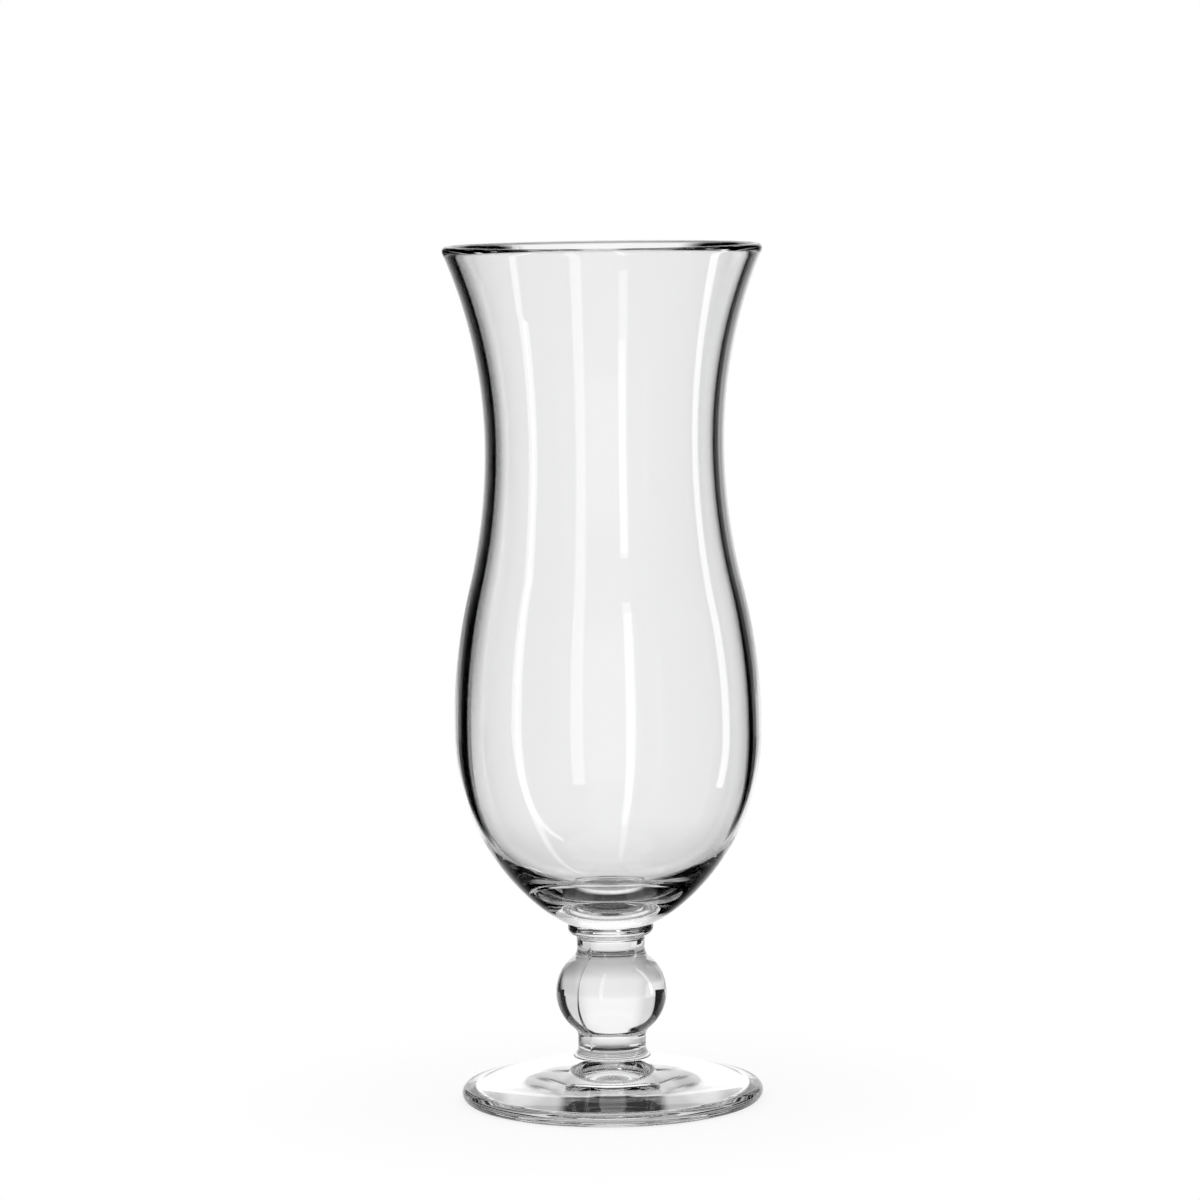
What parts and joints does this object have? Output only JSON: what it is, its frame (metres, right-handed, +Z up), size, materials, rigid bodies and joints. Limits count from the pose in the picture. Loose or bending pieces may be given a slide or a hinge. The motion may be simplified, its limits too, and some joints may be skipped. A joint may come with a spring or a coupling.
{
  "type": "hurricane glass",
  "caption": "Tall clear hurricane glass with a flared mouth, waisted bowl, rounded bulge, collar, ball-knop stem and conical foot, for serving long cocktails.",
  "frame": {"origin": "on the axis, at the surface that the foot stands on", "axes": "+Z up along the axis of revolution, from the foot to the rim; X and Y are level and equal"},
  "size_m": [0.0762, 0.0762, 0.206],
  "materials": {
    "blown_glass": "clear, fire-polished",
    "pressed_glass": "clear, fire-polished, with a fine mould seam"
  },
  "bodies": {
    "root": {"bowl": "blown_glass", "collar": "pressed_glass", "knop_stem": "pressed_glass", "foot": "pressed_glass"}
  },
  "joints": []
}
